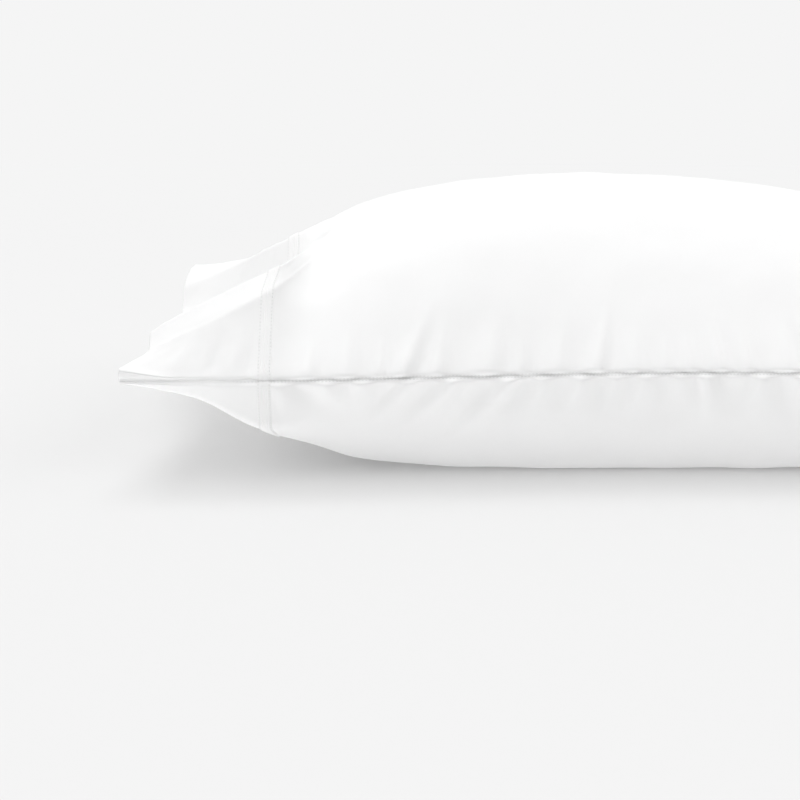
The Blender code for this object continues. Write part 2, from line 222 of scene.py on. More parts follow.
# The two layers of the cloth: their folds, the mesh's close columns beside the near seam as shares of the
# way to the next fold, the seam's puckers and their shape, how far the layer rolls out beside the seam and
# at what distance, and the seeds of its closed end's gathers and of its slow ripple.
Layer = namedtuple("Layer", "on_top lines columns puckers shape roll roll_at end_seed ripple_seed")
CLOSE_ABOVE = (0.0, 0.05, 0.12, 0.22, 0.36, 0.54, 0.76)
CLOSE_BELOW = (0.012, 0.024, 0.052, 0.09)
TOP = Layer(True, TOP_LINES, CLOSE_ABOVE, PUCKERS_ABOVE, PUFF_SHAPE, 0.8, 9.0, 8, 3)
UNDER = Layer(False, UNDER_LINES, CLOSE_BELOW, PUCKERS_BELOW, PLEAT_SHAPE, 0.5, 4.0, 9, 4)

# The near seam.
SEAM_GROOVE = 2.4  # how deep the seam is drawn in
SEAM_GROOVE_WIDTH = 0.95
SEAM_STRAIGHT = 12.0  # nearer than this, puckers turn to stand out level and leave the seam straight
ROLL_AT_RIM = 0.4  # share of the roll beside the seam that the rim has
ROLL_GROWS = Span(40.0, 110.0)  # along the case, from that share to all of it
ROLL_STOPS = 30.0  # how far from the closed end it fades
HEM_WELT = 2.0  # how far the hem's doubled cloth stands out on both sides of the seam
HEM_WELT_RISES = 1.2  # the distance in which it rises beside the seam
HEM_WELT_REACH = 14.0  # the distance in which it falls off
HEM_WELT_FADES = Span(90.0, 125.0)  # along the case

# The folded far side.
FAR_ROUNDING = 14  # columns each side of the far fold that are rounded
FAR_PASSES = 30
FAR_PULL = 0.5  # share of the way to its neighbours' middle that a point moves in a pass
FAR_AT_HEM = 0.03  # share of the rounding that the hem gets
FAR_ROUNDS = Span(110.0, 230.0)  # along the case, from that share to all of it

# The open hem.
HEM_WALL = 1.3  # two thicknesses of cloth and the air between them
STEEPEST = 3.0  # the steepest slope that the wall's thickness follows
RIM_OUT = 0.45  # how far the rim's rounded fold stands out, as a share of the wall
RIM_RUN = 0.7  # the cloth's run from the outside to the rim, and again from the rim to the inside
POCKET_DEPTH = 90.0
POCKET_FIRST_ROWS = (0.0, 1.2)
POCKET_EVEN_FROM = 3.0
POCKET_ROWS = 34
LEAST_GAP = 1.2  # the hem is open where its layers are this far apart
INSIDE_STEPS = 1200  # how finely those gaps are measured

# The pillow's end, across the mouth.
PILLOW_RINGS = (0.01, 0.04, 0.09, 0.16, 0.25, 0.36, 0.48, 0.61, 0.74, 0.86, 0.95)  # shares of the way in
PILLOW_BULGE = 5.0  # how far its middle stands out towards the mouth
PILLOW_CLEAR = 7.0  # what it keeps from the hem's outside
PILLOW_RUN = 40.0  # the cloth's run from its edge to its middle
WRINKLE_DEPTH = 0.8
WRINKLES_ROUND = 23.0  # how many there are round it

# The narrow band that holds the hem.
BAND_AT = 101.2  # its middle, along the case
BAND_WIDTH = 9.6
BAND_ROWS = 29
BAND_PROUD = 0.55  # how far it stands out from the cloth
BAND_EDGE = 8  # the higher, the squarer its edges
BAND_BACK = 0.35  # how deep its back lies in the cloth
BAND_BACK_STEP = 7  # rows of its face to one row of its back
BAND_CORDS = 5
CORDS_SPAN = 0.72  # share of the band's width that the cords take
CORD_PROUD = 0.35  # how far a cord stands out from the band

# Sewing.
THREAD = 0.42  # radius
STITCH_SIDES = 6
STITCH_PROFILE = ((-0.5, 0.35), (-0.32, 0.85), (0.0, 1.0), (0.32, 0.85), (0.5, 0.35))  # place and thickness
STITCH_DIVE = 1.3  # how deep a stitch's ends go down, in radii of the thread
STITCH_SLANT = 0.12  # at most, to either side
DIRECTION_REACH = 0.3  # how far ahead and behind a row's direction is read
BAND_STITCH = 2.7  # from one stitch to the next
BAND_STITCH_LENGTH = 1.6
BAND_STITCHES_AT = 3.9  # from the band's middle, on both sides of it
SEAM_STITCH = 2.6
SEAM_STITCH_LENGTH = 1.9
SEAM_STITCHES_AT = 1.6  # from the seam, on both sides of it
SEAM_STITCHES_PROUD = 0.15
SEAM_STITCHED_ROWS = slice(2, -8)  # rows of the mesh, clear of both corners
END_STITCHES_PROUD = 0.55


def eased(value, start, end):
    """0 before start, 1 after end, and a smooth step between."""
    share = np.clip((value - start) / (end - start), 0.0, 1.0)
    return share * share * (3.0 - 2.0 * share)


def unit(vectors):
    """Vectors with their lengths made one."""
    return vectors / np.maximum(np.linalg.norm(vectors, axis=-1, keepdims=True), 1e-9)


def flowing(places, heights, at):
    """A smooth curve through heights at the given places, with no overshoot between them."""
    places = np.asarray(places, float)
    heights = np.asarray(heights, float)
    steps = np.diff(places)
    rises = np.diff(heights) / steps
    slopes = np.concatenate([rises[:1], np.zeros(len(rises) - 1), rises[-1:]])
    for i in range(1, len(rises)):
        before, after = rises[i - 1], rises[i]
        if before * after > 0.0:
            weight_before = 2.0 * steps[i] + steps[i - 1]
            weight_after = steps[i] + 2.0 * steps[i - 1]
            slopes[i] = (weight_before + weight_after) / (weight_before / before + weight_after / after)
    at = np.clip(np.asarray(at, float), places[0], places[-1])
    left = np.clip(np.searchsorted(places, at, side="right") - 1, 0, len(steps) - 1)
    step = steps[left]
    share = (at - places[left]) / step
    from_left = (1.0 + 2.0 * share) * (1.0 - share) ** 2 * heights[left]
    from_right = share**2 * (3.0 - 2.0 * share) * heights[left + 1]
    bend = step * share * (1.0 - share) * ((1.0 - share) * slopes[left] - share * slopes[left + 1])
    return from_left + from_right + bend


def folded(places, heights, bends, at):
    """Straight runs between folds, with each fold rounded over its own distance."""
    places = np.asarray(places, float)
    heights = np.asarray(heights, float)
    slopes = np.diff(heights) / np.diff(places)
    areas = np.concatenate([[0.0], np.cumsum(np.diff(places) * (heights[1:] + heights[:-1]) / 2.0)])

    def area_up_to(place):
        left = np.clip(np.searchsorted(places, place, side="right") - 1, 0, len(slopes) - 1)
        past = place - places[left]
        return areas[left] + past * (heights[left] + slopes[left] * past / 2.0)

    reach = np.minimum(np.interp(at, places, bends), np.minimum(at - places[0], places[-1] - at))
    reach = np.maximum(reach, 1e-3)
    low = np.maximum(at - reach, places[0])
    high = np.minimum(at + reach, places[-1])
    return (area_up_to(high) - area_up_to(low)) / (high - low)


def section_at(column, along):
    """One measure of the filled case's sections, at places along it."""
    return flowing([s.along for s in SECTIONS], [getattr(s, column) for s in SECTIONS], along)


def drawn_in(along, across):
    """How far the closed end's pull moves a point back towards the mouth."""
    pull = CLOSED_END_DRAWN_IN * (1.0 - np.abs(2.0 * across - 1.0) ** PULL_FULLNESS)
    return pull * eased(along, PULL_STARTS, LENGTH)


def resting(depth):
    """Depth below the seam, flattened where the belly lies on the surface."""
    soft = BED_SOFTNESS
    rounded = BELLY_DEPTH - (BELLY_DEPTH + soft - depth) ** 2 / (4.0 * soft)
    flat = np.where(depth > BELLY_DEPTH + soft, BELLY_DEPTH, rounded)
    return np.where(depth < BELLY_DEPTH - soft, depth, flat)


def filled_shape(along, across, on_top):
    """Points of the filled case, by their places along and across it."""
    near_y = section_at("near_y", along)
    far_y = section_at("far_y", along)
    edge_z = section_at("near_z", along) * (1.0 - across) + section_at("far_z", along) * across
    side = np.abs(2.0 * across - 1.0)
    if on_top:
        full = np.where(across < 0.5, section_at("top_full", along), FAR_SIDE_FULL)
        z = edge_z + SEAM_EDGE + section_at("crown", along) * (1.0 - side**full)
    else:
        drop = 1.0 - side ** section_at("under_full", along)
        z = -resting(SEAM_EDGE - edge_z + section_at("belly", along) * drop)
    x = along - drawn_in(along, across)
    y = near_y + (far_y - near_y) * across
    return np.array([x, y, z])


def hem_shape(layer, along, columns, leans):
    """Points of the open hem at one place along it, by their places among its folds."""
    places = LINE_PLACES + (SHOULDER,)
    knots = []
    for line in layer.lines:
        last = filled_shape(SHOULDER, line.across, layer.on_top)
        through = np.array([line.rim, line.middle, line.band, last])
        knots.append([flowing(places, through[:, axis], along) for axis in range(3)])
    knots = np.array(knots, float)
    bends = np.array([line.bend for line in layer.lines], float)
    if layer.on_top:
        lip = [line.name for line in TOP_LINES].index("lip")
        knots[lip, 2] = lip_height(along, knots[lip, 2])
        bends[1:-1] += FOLDS_SOFTEN * eased(along, FOLDS_CRISP, SHOULDER)
    y = np.interp(columns, np.arange(len(knots)), knots[:, 1])
    x = folded(knots[:, 1], knots[:, 0], bends, y)
    z = folded(knots[:, 1], knots[:, 2], bends, y)
    return np.array([x, y + lip_leaning(along, columns) * leans, z])


def lip_height(along, beyond):
    """The upright lip's height, until the hem's own height beyond it takes over."""
    share = np.clip(1.0 - along / LIP_LENGTH, 0.0, 1.0)
    standing = LIP_LOW + (LIP_HEIGHT - LIP_LOW) * share**LIP_SINKS
    return standing + (beyond - standing) * eased(along, LIP_LENGTH, HEM_DEPTH)


def lip_leaning(along, columns):
    """How far the cloth lies in or out between the seam and just past the lip."""
    at_tip = 1.0 - eased(along, *LIP_LEAN_FADES)
    up = np.clip(columns, 0.0, 1.0)
    past = np.clip((columns - 1.0) / LIP_ABOVE, 0.0, 1.0)
    depth = HOLLOW_PAST_LIP + (1.0 - HOLLOW_PAST_LIP) * at_tip
    hollow = LIP_HOLLOW * np.sin(np.pi * up) * depth * eased(along, 0.0, HOLLOW_BEGINS)
    return hollow - LIP_LEAN * up * (1.0 - past) ** 2 * at_tip


def columns_of(layer):
    """Places among the folds of the mesh's columns, close together beside the near seam."""
    found = list(layer.columns)
    for number, line in enumerate(layer.lines):
        steps = max(line.steps, 1)
        found += [number + step / steps for step in range(steps)]
    return np.unique(found)


def rows_along():
    """Places along the case of the mesh's rows."""
    hem = np.linspace(0.0, HEM_DEPTH, HEM_ROWS, endpoint=False)
    body = np.linspace(HEM_DEPTH, LENGTH - END_ROWS[0], BODY_ROWS, endpoint=False)
    return np.concatenate([hem, body, LENGTH - np.array(END_ROWS)])


def plain_grid(layer, leans):
    """Points of a layer before its puckers, in rows along the case, with or without the lip's lean."""
    columns = columns_of(layer)
    across = np.interp(columns, np.arange(len(layer.lines)), [line.across for line in layer.lines])
    rows = []
    for along in rows_along():
        body = filled_shape(along, across, layer.on_top)
        if along >= SHOULDER:
            rows.append(body)
            continue
        hem = hem_shape(layer, along, columns, leans)
        share = eased(along, HEM_DEPTH, SHOULDER)
        rows.append(hem * (1.0 - share) + body * share)
    return np.array(rows).transpose(0, 2, 1)


def outward(grid, on_top):
    """Directions out of a layer at its points."""
    normals = unit(np.cross(np.gradient(grid, axis=0), np.gradient(grid, axis=1)))
    return normals if on_top else -normals


def run_of(grid, axis):
    """Distance over the cloth from the grid's first row or column."""
    steps = np.linalg.norm(np.diff(grid, axis=axis), axis=2)
    start = np.zeros_like(steps.take([0], axis=axis))
    return np.concatenate([start, np.cumsum(steps, axis=axis)], axis=axis)


def puckered(place, distance, puckers, shape):
    """Height of an edge's puckers, from the place along the edge and the distance from it."""
    lift = np.zeros(distance.shape)
    for pucker in puckers:
        share = distance / pucker.reach
        aside = place - pucker.along - pucker.lean * share
        grown = shape.at_edge + (shape.at_reach - shape.at_edge) * np.clip(share, 0.0, WIDTH_SETTLES)
        width = pucker.width * grown
        flank = np.where(aside < 0.0, shape.left, shape.right) * width
        ridge = np.exp(-((aside / flank) ** 2))
        hollow = np.exp(-(((aside - HOLLOW_BESIDE * flank) / flank) ** 2))
        tail = np.clip(1.0 - share / RUNS_OUT, 0.0, 1.0) ** shape.sinks
        rise = 1.0 - np.exp(-distance / shape.rises)
        lift += pucker.height * rise * tail * (ridge - shape.hollow * hollow)
    return lift


def even_puckers(length, gathers, seed):
    """Plainer puckers spread over an edge, none of them quite alike."""
    chance = np.random.default_rng(seed)
    step = length / gathers.count
    puckers = []
    for number in range(gathers.count):
        stray, height, reach, lean, width = [chance.uniform(*span) for span in GATHERS_DIFFER]
        along = (number + 0.5 + stray) * step
        puckers.append(Pucker(along, gathers.height * height, gathers.reach * reach, lean, width))
    return puckers


def marked(along, up, marks):
    """Height of the cloth changed by the soft dents and swellings."""
    lift = np.zeros(along.shape)
    for mark in marks:
        turn = np.radians(mark.turn)
        ahead = (along - mark.along) * np.cos(turn) + (up - mark.up) * np.sin(turn)
        aside = (up - mark.up) * np.cos(turn) - (along - mark.along) * np.sin(turn)
        lift += mark.height * np.exp(-((ahead / mark.length) ** 2) - (aside / mark.width) ** 2)
    return lift


def rippled(along, up, ripple, seed):
    """A faint unevenness of the cloth, made of waves in all directions."""
    chance = np.random.default_rng(seed)
    total = np.zeros(along.shape)
    for _ in range(RIPPLE_WAVES):
        turn = chance.uniform(0.0, np.pi)
        length = ripple.size * chance.uniform(*RIPPLE_SIZES)
        phase = chance.uniform(0.0, 2.0 * np.pi)
        total += np.sin(2.0 * np.pi * (along * np.cos(turn) + up * np.sin(turn)) / length + phase)
    return ripple.height * (total / np.sqrt(RIPPLE_WAVES)) * eased(up, *ripple.grows)


def ridged(along, from_seam):
    """Height of the crisp ridges on the top of the hem."""
    lift = np.zeros(along.shape)
    columns = columns_of(TOP)
    names = [line.name for line in TOP_LINES]
    for ridge in RIDGES:
        column = int(np.argmin(np.abs(columns - names.index(ridge.fold))))
        aside = from_seam - from_seam[:, column : column + 1]
        aside = np.where(aside < 0.0, aside / ridge.below, aside / ridge.above)
        left = 1.0 - eased(along, ridge.fades, ridge.gone)
        lift += ridge.height * np.exp(-np.abs(aside) ** RIDGE_ROUNDNESS) * left
    return lift


def raised(layer, grid, along, from_seam, from_end):
    """Height of one layer's puckers, dents, ridges and unevenness."""
    from_far = from_seam[:, -1:] - from_seam
    in_body = eased(along, *FAR_GATHERS_BEGIN)
    near_end = eased(from_end, 0.0, CROSSING_CLEAR)
    lift = puckered(along, from_seam, layer.puckers, layer.shape) * near_end
    far = even_puckers(LENGTH, FAR_GATHERS, FAR_GATHERS_SEED)
    lift += puckered(along, from_far, far, GATHER_SHAPE) * in_body * near_end
    end = even_puckers(WIDTH, END_GATHERS, layer.end_seed)
    between = eased(from_seam, 0.0, CROSSING_CLEAR) * eased(from_far, 0.0, CROSSING_CLEAR)
    lift += puckered(grid[:, :, 1], from_end, end, GATHER_SHAPE) * between
    if layer.on_top:
        lift += marked(along, from_seam, TOP_MARKS)
        lift += ridged(along, from_seam)
    lift += rippled(along, from_seam, SLOW_RIPPLE, layer.ripple_seed)
    lift += rippled(along, from_seam, FINE_RIPPLE, FINE_RIPPLE_SEED) * (1.0 - PULLED_SMOOTH * in_body)
    return lift


def sewn(layer, grid, along, from_seam, from_end):
    """A layer with the rolls beside its near seam, the hem's welt, and both seams drawn in."""
    grown = ROLL_AT_RIM + (1.0 - ROLL_AT_RIM) * eased(along, *ROLL_GROWS)
    held = grown * eased(from_end, 0.0, ROLL_STOPS)
    roll = layer.roll * from_seam / layer.roll_at * np.exp(1.0 - from_seam / layer.roll_at)
    grid[:, :, 1] -= roll * held
    welt = HEM_WELT * (1.0 - np.exp(-from_seam / HEM_WELT_RISES)) * np.exp(-from_seam / HEM_WELT_REACH)
    grid[:, :, 1] -= welt * (1.0 - eased(along, *HEM_WELT_FADES))
    drawn = np.exp(-((from_seam / SEAM_GROOVE_WIDTH) ** 2))
    grid[:, :, 1] += SEAM_GROOVE * drawn
    side = -1.0 if layer.on_top else 1.0
    grid[:, :, 2] += side * SEAM_EDGE * drawn
    end_drawn = np.exp(-((from_end / SEAM_GROOVE_WIDTH) ** 2))
    grid[:, :, 0] -= SEAM_GROOVE * end_drawn
    grid[:, :, 2] += side * SEAM_EDGE * end_drawn * (1.0 - drawn)
    return grid


def shaped_layer(layer):
    """One layer of the cloth as it shows. Gives its points and its cloth's run."""
    grid = plain_grid(layer, leans=layer.on_top)
    along = np.repeat(rows_along()[:, None], grid.shape[1], axis=1)
    from_seam = run_of(grid, 1)
    from_end = run_of(grid[::-1], 0)[::-1]
    lift = raised(layer, grid, along, from_seam, from_end)[:, :, None]
    level = 1.0 - eased(from_seam, 0.0, SEAM_STRAIGHT)[:, :, None]
    way = outward(grid, layer.on_top) * (1.0 - level) + np.array([0.0, -1.0, 0.0]) * level
    grid = sewn(layer, grid + way * lift, along, from_seam, from_end)
    if not layer.on_top:
        grid[:, :, 2] = np.maximum(grid[:, :, 2], -BELLY_DEPTH)
    return grid, np.stack([along, from_seam, 0.0 * along], axis=2)


def ring_grid(top, under):
    """Rings round the case: over the top layer from the near seam, then back along the under one."""
    near = (top[:, :1] + under[:, :1]) / 2.0
    far = (top[:, -1:] + under[:, -1:]) / 2.0
    return np.concatenate([near, top[:, 1:-1], far, under[:, -2:0:-1]], axis=1)


def round_far_fold(rings, far_column):
    """Rounds the folded far side where the case is filled, and leaves it sharp at the hem."""
    span = slice(far_column - FAR_ROUNDING, far_column + FAR_ROUNDING + 1)
    part = rings[:, span].copy()
    weight = np.sin(np.linspace(0.0, np.pi, part.shape[1])) ** 0.5
    fill = FAR_AT_HEM + (1.0 - FAR_AT_HEM) * eased(rows_along(), *FAR_ROUNDS)
    share = (FAR_PULL * weight[None, :] * fill[:, None])[:, 1:-1, None]
    for _ in range(FAR_PASSES):
        middle = (part[:, :-2] + part[:, 2:]) / 2.0
        part[:, 1:-1] += share * (middle - part[:, 1:-1])
    rings[:, span] = part
    return rings


def place_in_room():
    """Where the case's own zero lies in the room, from the solid's box."""
    low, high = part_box("pillowcase")
    return np.array([high[0] - LENGTH * MM, high[1] - WIDTH * MM, low[2] + BELLY_DEPTH * MM])


CASE_AT = place_in_room()


def placed(points):
    """From the case's millimetres to the room's metres."""
    return np.asarray(points) * MM + CASE_AT


def vertices_of(mesh, rows):
    """New vertices of a mesh at rows of points of the case."""
    return [[mesh.verts.new(point) for point in row] for row in placed(rows)]


def join_rings(mesh, rings, flip=False):
    """Joins each ring of vertices to the next one with quads."""
    for first, second in zip(rings, rings[1:]):
        for i in range(len(first)):
            j = (i + 1) % len(first)
            corners = [first[i], second[i], second[j], first[j]]
            mesh.faces.new(reversed(corners) if flip else corners)


def close_seam(mesh, first, second):
    """Joins two rows of unlike numbers of vertices that start and end at the same two vertices."""
    i = j = 0
    while i < len(first) - 1 or j < len(second) - 1:
        step_first = j == len(second) - 1 or (
            i < len(first) - 1 and first[i + 1].co.y <= second[j + 1].co.y
        )
        ahead = first[i + 1] if step_first else second[j + 1]
        corners = [first[i], ahead, second[j]]
        if len(set(corners)) == 3:
            mesh.faces.new(corners)
        if step_first:
            i += 1
        else:
            j += 1


def in_scene(name, data):
    """A new object in the scene."""
    made = bpy.data.objects.new(name, data)
    bpy.context.scene.collection.objects.link(made)
    return made


def meshed(name, mesh, material):
    """A new object in the scene from a bmesh, which it uses up."""
    data = bpy.data.meshes.new(name)
    mesh.to_mesh(data)
    mesh.free()
    data.materials.append(material)
    return in_scene(name, data)


def piece_from(name, mesh, cloth, material):
    """A finished piece from a bmesh, with the cloth's own run stored for its weave."""
    bmesh.ops.recalc_face_normals(mesh, faces=mesh.faces[:])
    piece = meshed(name, mesh, material)
    piece.data.shade_smooth()
    run = piece.data.attributes.new("cloth_run", "FLOAT_VECTOR", "POINT")
    run.data.foreach_set("vector", np.asarray(cloth, np.float32).ravel())
    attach(piece, "root")
    return piece


def held_inside(points, plain_grids):
    """Points of the pillow's end, kept under the hem's upper layer and over its lower one."""
    rows = rows_along()
    for point in points:
        row = int(np.argmin(np.abs(rows - point[0])))
        over, below = [np.interp(point[1], grid[row, :, 1], grid[row, :, 2]) for grid in plain_grids]
        middle = (over + below) / 2.0
        point[2] = np.clip(point[2], min(below + PILLOW_CLEAR, middle), max(over - PILLOW_CLEAR, middle))
    return points


def pillow_end_rings(first_ring, plain_grids):
    """Rings of the pillow's rounded end, from the case's first ring inwards, and its middle."""
    middle = first_ring.mean(axis=0) - np.array([PILLOW_BULGE, 0.0, 0.0])
    rings = []
    for share in PILLOW_RINGS:
        ring = first_ring + (middle - first_ring) * share
        ring[:, 0] = first_ring[:, 0] + (middle[0] - first_ring[:, 0]) * (1.0 - (1.0 - share) ** 2)
        turn = np.linspace(0.0, 2.0 * np.pi, len(ring), endpoint=False)
        wrinkles = np.sin(WRINKLES_ROUND * turn + 2.0 * np.sin(3.0 * turn))
        ring[:, 0] += WRINKLE_DEPTH * share * (1.0 - share) * 4.0 * wrinkles
        rings.append(held_inside(ring, plain_grids))
    return rings, held_inside(middle[None], plain_grids)[0]


def make_body(rings, run, top_count, plain_grids, material):
    """The filled case from the hem's band to the closed end, with the pillow's end across its mouth."""
    mesh = bmesh.new()
    body = rings[HEM_ROWS:]
    outer = vertices_of(mesh, body)
    cloth = list(run[HEM_ROWS:].reshape(-1, 3))
    join_rings(mesh, outer)
    last = outer[-1]
    close_seam(mesh, last[:top_count], [last[0]] + last[: top_count - 2 : -1])
    caps, middle = pillow_end_rings(body[0], plain_grids)
    inner = vertices_of(mesh, caps)
    for ring, share in zip(caps, PILLOW_RINGS):
        cloth += [np.array([PILLOW_RUN * share, point[1], 0.0]) for point in ring]
    join_rings(mesh, [outer[0]] + inner, flip=True)
    centre = mesh.verts.new(placed(middle))
    cloth.append(np.array([PILLOW_RUN, middle[1], 0.0]))
    ring = inner[-1]
    for first, second in zip(ring, ring[1:] + ring[:1]):
        mesh.faces.new((first, second, centre))
    piece = piece_from("filled_case", mesh, cloth, material)
    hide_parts("pillowcase")


def row_before(along):
    """The mesh's last row before a place along the case, and the share of the way to the next."""
    rows = rows_along()
    row = min(np.interp(along, rows, np.arange(len(rows))), len(rows) - 2)
    return int(row), row - int(row)


def inside_of_hem(top, under, places):
    """The hem's inside at each place along it: rings a wall's thickness within the cloth."""
    rings = []
    for along in places:
        low, share = row_before(along)
        outer = [grid[low] * (1.0 - share) + grid[low + 1] * share for grid in (top, under)]
        y = np.linspace(outer[0][0, 1], outer[0][-1, 1], INSIDE_STEPS)
        heights = []
        for sign, points in zip((-1.0, 1.0), outer):
            z = np.interp(y, points[:, 1], points[:, 2])
            slope = np.gradient(z, y)
            heights.append(z + sign * HEM_WALL * np.sqrt(1.0 + np.minimum(slope**2, STEEPEST**2)))
        open_at = y[heights[0] - heights[1] > LEAST_GAP]
        found = []
        for points, z in zip(outer, heights):
            span = (points[:, 1] - points[0, 1]) / (points[-1, 1] - points[0, 1])
            at = open_at[0] + (open_at[-1] - open_at[0]) * span
            x = np.interp(at, points[:, 1], points[:, 0])
            found.append(np.array([x, at, np.interp(at, y, z)]).T)
        rings.append(ring_grid(found[0][None], found[1][None])[0])
    return np.array(rings)


def make_hem(rings, run, plain_grids, material):
    """The open hem: its outside, the rounded fold of its rim, and the turned-in layer."""
    mesh = bmesh.new()
    outside = rings[: HEM_ROWS + 1]
    even = np.linspace(POCKET_EVEN_FROM, POCKET_DEPTH, POCKET_ROWS)
    places = np.concatenate([POCKET_FIRST_ROWS, even])
    inside = inside_of_hem(*plain_grids, places)
    rim = (outside[0] + inside[0]) / 2.0
    rim[:, 0] -= HEM_WALL * RIM_OUT
    outer = vertices_of(mesh, outside)
    edge = vertices_of(mesh, rim[None])[0]
    inner = vertices_of(mesh, inside)
    join_rings(mesh, outer)
    join_rings(mesh, [outer[0], edge, inner[0]], flip=True)
    join_rings(mesh, inner, flip=True)
    join_rings(mesh, [inner[-1], outer[-1]], flip=True)
    cloth = list(run[: HEM_ROWS + 1].reshape(-1, 3))
    cloth += list(run[0] - np.array([RIM_RUN, 0.0, 0.0]))
    for place in places:
        cloth += list(run[0] - np.array([2.0 * RIM_RUN + place, 0.0, 0.0]))
    piece = piece_from("open_hem", mesh, cloth, material)
    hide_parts("pillowcase")
    return piece


def on_rings(rings, along, lift):
    """A ring round the cloth, raised from it, and the directions out of it."""
    low, share = row_before(along)
    ring = rings[low] * (1.0 - share) + rings[low + 1] * share
    ahead = rings[low + 1] - rings[low]
    around = np.roll(ring, -1, axis=0) - np.roll(ring, 1, axis=0)
    normals = unit(np.cross(ahead, around))
    return ring + normals * lift, normals


def band_lift(offset):
    """How far the band's corded face stands out, at an offset from its middle."""
    plateau = BAND_PROUD * (1.0 - (2.0 * abs(offset) / BAND_WIDTH) ** BAND_EDGE)
    cord = np.sin(np.pi * BAND_CORDS * (offset / (CORDS_SPAN * BAND_WIDTH) + 0.5)) ** 2
    return plateau + CORD_PROUD * cord * (abs(offset) < CORDS_SPAN / 2.0 * BAND_WIDTH)


def make_band(rings, run, material):
    """The narrow corded band sewn round the case where the hem ends."""
    mesh = bmesh.new()
    offsets = np.linspace(-BAND_WIDTH / 2.0, BAND_WIDTH / 2.0, BAND_ROWS)
    rows = [(offset, band_lift(offset)) for offset in offsets]
    rows += [(offset, -BAND_BACK) for offset in offsets[::-BAND_BACK_STEP]]
    made, cloth = [], []
    for offset, lift in rows:
        made.append(on_rings(rings, BAND_AT + offset, lift)[0])
        cloth += [np.array([offset, point[1], 0.0]) for point in run[0]]
    made = vertices_of(mesh, np.array(made))
    join_rings(mesh, made + made[:1])
    return piece_from("hem_band", mesh, cloth, material)


def read_along(line, lengths, at):
    """Points of a line at distances along it."""
    return np.array([np.interp(at, lengths, line[:, axis]) for axis in range(3)]).T


def evenly_along(line, step):
    """Points at even steps along a line, its direction at each, and their distances along it."""
    lengths = np.concatenate([[0.0], np.cumsum(np.linalg.norm(np.diff(line, axis=0), axis=1))])
    count = int(lengths[-1] / step)
    at = (np.arange(count) + 0.5) * lengths[-1] / count
    ahead = read_along(line, lengths, at + DIRECTION_REACH)
    ahead -= read_along(line, lengths, at - DIRECTION_REACH)
    return read_along(line, lengths, at), unit(ahead), at


def make_stitches(name, line, up, step, length, material, seed):
    """A row of stitches along a line: short rounded threads, one for each step."""
    points, ahead, at = evenly_along(line, step)
    ups = read_along(up, np.linspace(0.0, at[-1], len(up)), at)
    side = unit(np.cross(ups, ahead))
    ups = np.cross(ahead, side)
    chance = np.random.default_rng(seed)
    mesh = bmesh.new()
    around = np.linspace(0.0, 2.0 * np.pi, STITCH_SIDES, endpoint=False)
    cloth = []
    for point, forward, sideways, above in zip(points, ahead, side, ups):
        slant = sideways * chance.uniform(-STITCH_SLANT, STITCH_SLANT)
        rings = []
        for place, size in STITCH_PROFILE:
            dive = above * THREAD * STITCH_DIVE * (2.0 * place) ** 2
            centre = point + (forward + slant) * place * length - dive
            radius = THREAD * size
            rings.append([centre + (np.cos(a) * sideways + np.sin(a) * above) * radius for a in around])
            cloth += [np.array([place * length, a * THREAD, 0.0]) for a in around]
        made = vertices_of(mesh, np.array(rings))
        join_rings(mesh, made)
        mesh.faces.new(list(reversed(made[0])))
        mesh.faces.new(made[-1])
    return piece_from(name, mesh, cloth, material)


def stitch_the_band(rings, material):
    """The two rows of stitches that hold the band, one near each of its edges."""
    sewing = []
    for name, side, seed in (("band_stitches_mouth", -1.0, 21), ("band_stitches_body", 1.0, 22)):
        ring, normals = on_rings(rings, BAND_AT + side * BAND_STITCHES_AT, BAND_PROUD)
        line = np.concatenate([ring, ring[:1]])
        up = np.concatenate([normals, normals[:1]])
        sewing.append(make_stitches(name, line, up, BAND_STITCH, BAND_STITCH_LENGTH, material, seed))
    return sewing


def stitch_the_near_seam(name, grid, on_top, material, seed):
    """A row of stitches beside the near seam, on one layer."""
    column = int(np.argmin(np.abs(run_of(grid, 1)[BODY_ROWS] - SEAM_STITCHES_AT)))
    up = outward(grid, on_top)[SEAM_STITCHED_ROWS, column]
    line = grid[SEAM_STITCHED_ROWS, column] + SEAM_STITCHES_PROUD * up
    make_stitches(name, line, up, SEAM_STITCH, SEAM_STITCH_LENGTH, material, seed)


def stitch_the_closed_end(rings, top_count, material):
    """A row of stitches along the closed end's seam."""
    line = rings[-1, 1 : top_count - 1] + np.array([END_STITCHES_PROUD, 0.0, 0.0])
    up = np.tile([1.0, 0.0, 0.0], (len(line), 1))
    make_stitches("end_seam_stitches", line, up, SEAM_STITCH, SEAM_STITCH_LENGTH, material, seed=24)


# The cottons: the greys of their lighter and darker places, threads to the millimetre, how uneven those
# are, how deep the weave is in metres, and how strong the sheen is.
Cotton = namedtuple("Cotton", "name light shaded threads slub depth sheen")
COTTONS = (
    Cotton("white_percale", 0.905, 0.89, 2.6, 0.5, 0.00012, 0.12),
    Cotton("hem_percale", 0.905, 0.89, 2.6, 0.45, 0.0001, 0.12),
    Cotton("band_cotton", 0.905, 0.885, 1.8, 0.4, 0.00016, 0.12),
    # The thread is white, but its greys are set darker than the cloth's: painted shade that stands in for
    # the shade in and round the stitches.
    Cotton("white_thread", 0.84, 0.78, 3.4, 0.8, 0.0001, 0.25),
)
SHEEN_ROUGHNESS = 0.45
COTTON_SPECULAR = 0.3
WEAVE_STRENGTH = 0.35
ALONG_THREADS = 0.06  # how often, to the millimetre, the threads' thickness changes along them
ACROSS_THREADS = 1.6  # and across them
TONE_PATCHES = 0.022  # to the millimetre
THREADS_IN_TONE = 0.35  # how strongly the uneven threads show in the tone
TONE_TURNS = Span(0.55, 1.15)  # between light and shaded
COTTON_ROUGHNESS = Span(0.74, 0.88)


